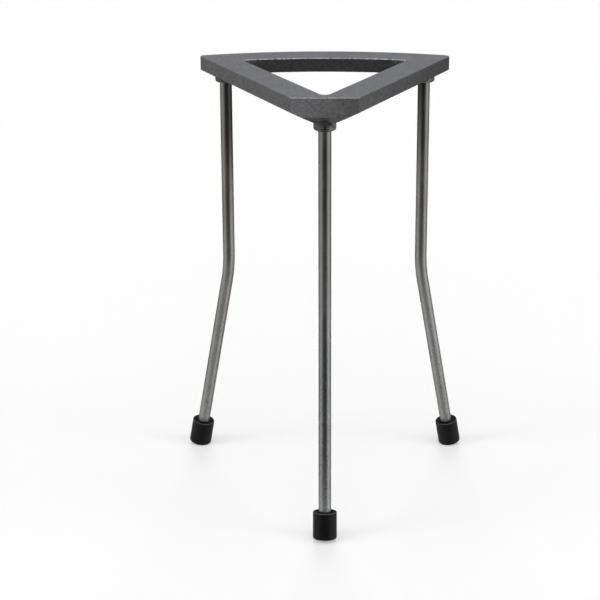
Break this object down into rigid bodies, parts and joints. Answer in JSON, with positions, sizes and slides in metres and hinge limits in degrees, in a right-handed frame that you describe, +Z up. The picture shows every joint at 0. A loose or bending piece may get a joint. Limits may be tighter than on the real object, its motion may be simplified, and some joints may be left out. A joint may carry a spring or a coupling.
{
  "type": "tripod stand",
  "caption": "Cast triangular ring on splayed bent-rod legs with rubber feet, for holding vessels above a laboratory burner.",
  "frame": {"origin": "Centre of the stand's footprint rectangle, on the floor.", "axes": "+Z up. -Y towards the flat front corner, whose leg stands alone at the front. +X to the right, seen from the front."},
  "size_m": [0.1646, 0.1442, 0.24],
  "materials": {
    "casting": "fine-grained dark grey casting with softly broken edges",
    "rod": "drawn round steel, darkened, with slight mottling towards the feet",
    "rubber": "matte black moulded rubber"
  },
  "bodies": {
    "root": {"top_plate": "casting", "leg_front": "rod", "leg_left": "rod", "leg_right": "rod", "foot_front": "rubber", "foot_left": "rubber", "foot_right": "rubber"}
  },
  "joints": []
}
